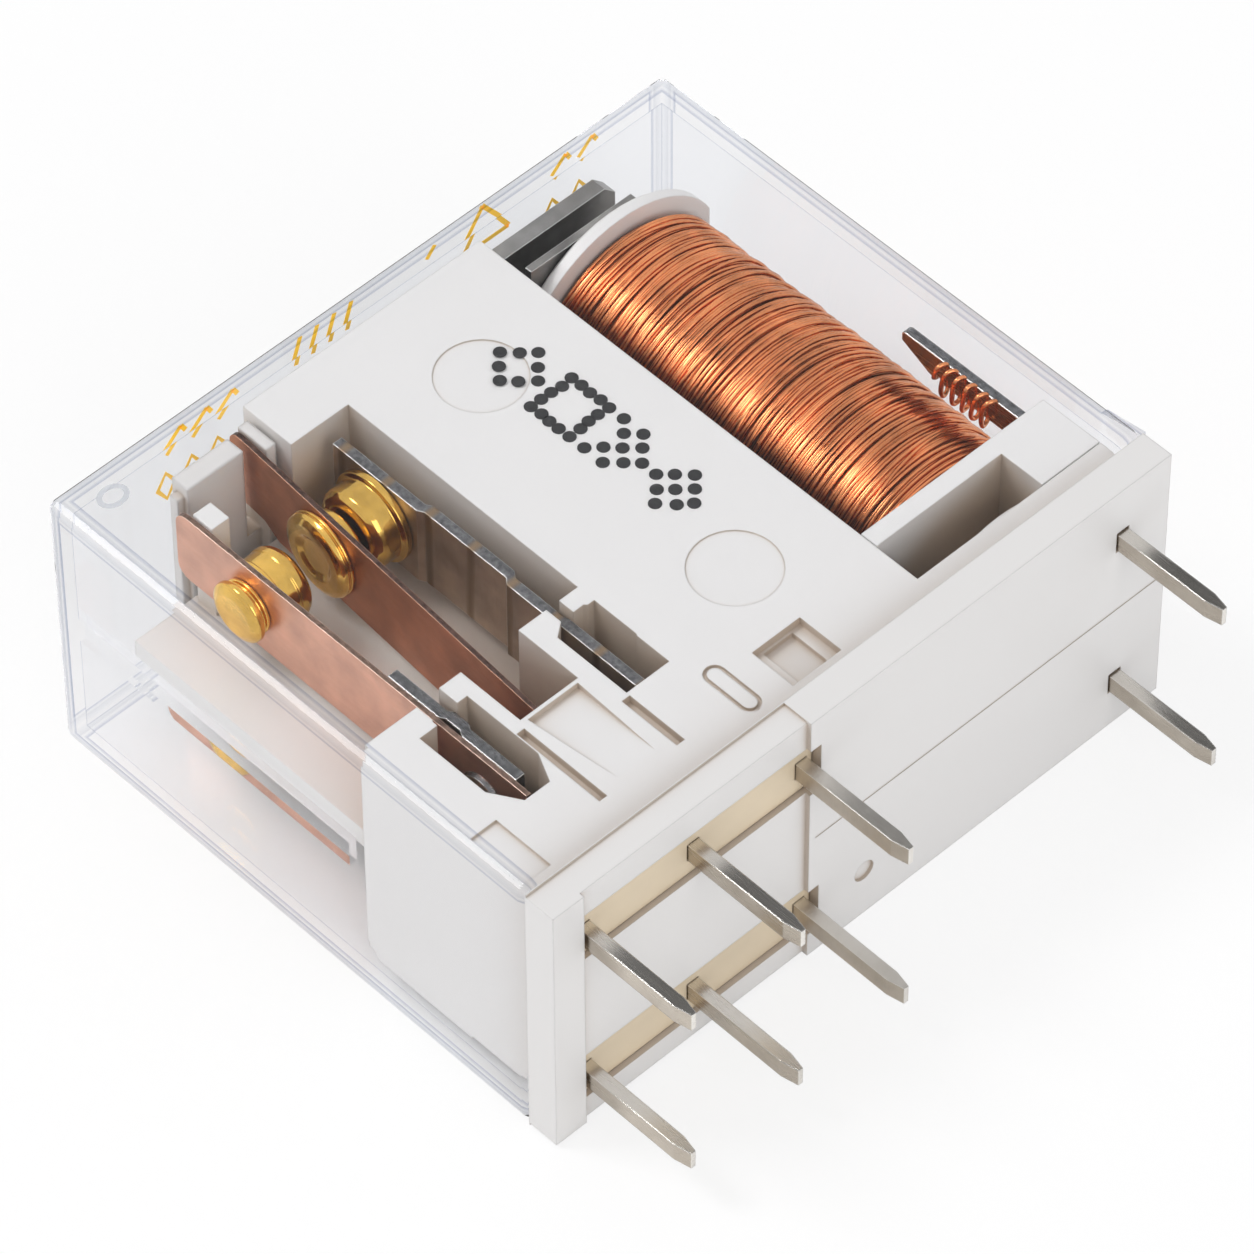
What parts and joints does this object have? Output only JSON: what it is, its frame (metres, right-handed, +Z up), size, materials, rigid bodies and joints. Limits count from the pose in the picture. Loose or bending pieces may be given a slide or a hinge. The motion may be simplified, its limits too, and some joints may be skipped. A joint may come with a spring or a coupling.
{
  "type": "plug-in relay",
  "caption": "Box-shaped plug-in relay in a clear cover, with flat pins, a coil with a hinged armature, and changeover contacts that a sliding card moves.",
  "frame": {"origin": "middle of the whole relay, pins included, on the broad side that it lies on", "axes": "+X from the contact end to the coil end, +Y from the pin side to the closed end of the cover, +Z up through the relay's thickness"},
  "size_m": [0.0294, 0.0298, 0.0124],
  "materials": {
    "clear_cover": "clear polished polycarbonate",
    "white_plastic": "satin moulded",
    "card_plastic": "satin moulded",
    "sealing_resin": "cast, slightly glossy",
    "tinned_metal": "tinned, slightly rough",
    "blade_copper": "rolled copper alloy",
    "contact_gold": "polished gold flash",
    "magnet_steel": "dull plated",
    "enamelled_wire": "enamelled copper"
  },
  "bodies": {
    "housing": {"cover": "clear_cover", "base": "white_plastic", "seal_resin_upper": "sealing_resin", "seal_resin_lower": "sealing_resin", "bobbin": "white_plastic", "coil_winding": "enamelled_wire", "coil_lead_upper": "enamelled_wire", "coil_lead_lower": "enamelled_wire", "coil_terminal_upper": "tinned_metal", "coil_terminal_lower": "tinned_metal", "core": "magnet_steel", "yoke": "magnet_steel", "com_terminal_upper": "tinned_metal", "com_terminal_lower": "tinned_metal", "no_blade_upper": "blade_copper", "no_blade_lower": "blade_copper", "no_contact_upper": "contact_gold", "no_contact_lower": "contact_gold", "no_rivet_upper": "tinned_metal", "no_rivet_lower": "tinned_metal", "no_terminal_upper": "tinned_metal", "no_terminal_lower": "tinned_metal", "nc_terminal_upper": "tinned_metal", "nc_terminal_lower": "tinned_metal", "nc_contact_upper": "contact_gold", "nc_contact_lower": "contact_gold"},
    "armature": {"armature": "magnet_steel"},
    "card": {"card": "card_plastic"},
    "moving_blade_upper": {"com_blade_upper": "blade_copper", "com_contact_upper": "contact_gold"},
    "moving_blade_lower": {"com_blade_lower": "blade_copper", "com_contact_lower": "contact_gold"}
  },
  "joints": [
    {"name": "armature_hinge", "type": "hinge", "parent": "housing", "child": "armature", "pos_m": [0.00245, 0.01328, 0.0062], "axis": [0, 0, -1], "range_deg": [0, 5.2], "stiffness_Nm_per_rad": 0.05, "springref_deg": -2.86},
    {"name": "card_slide", "type": "slide", "parent": "housing", "child": "card", "axis": [-1, 0, 0], "range_m": [0, 0.0015]},
    {"name": "upper_blade_flex", "type": "hinge", "parent": "housing", "child": "moving_blade_upper", "pos_m": [-0.00825, -0.0026, 0.00923], "axis": [0, 0, 1], "range_deg": [0, 5.5]},
    {"name": "lower_blade_flex", "type": "hinge", "parent": "housing", "child": "moving_blade_lower", "pos_m": [-0.00825, -0.0026, 0.00317], "axis": [0, 0, 1], "range_deg": [0, 5.5]}
  ],
  "couplings": [
    {"joint": "card_slide", "follows": "armature_hinge", "m_per_rad": 0.01624},
    {"joint": "upper_blade_flex", "follows": "armature_hinge", "ratio": 1.034},
    {"joint": "lower_blade_flex", "follows": "armature_hinge", "ratio": 1.034}
  ]
}
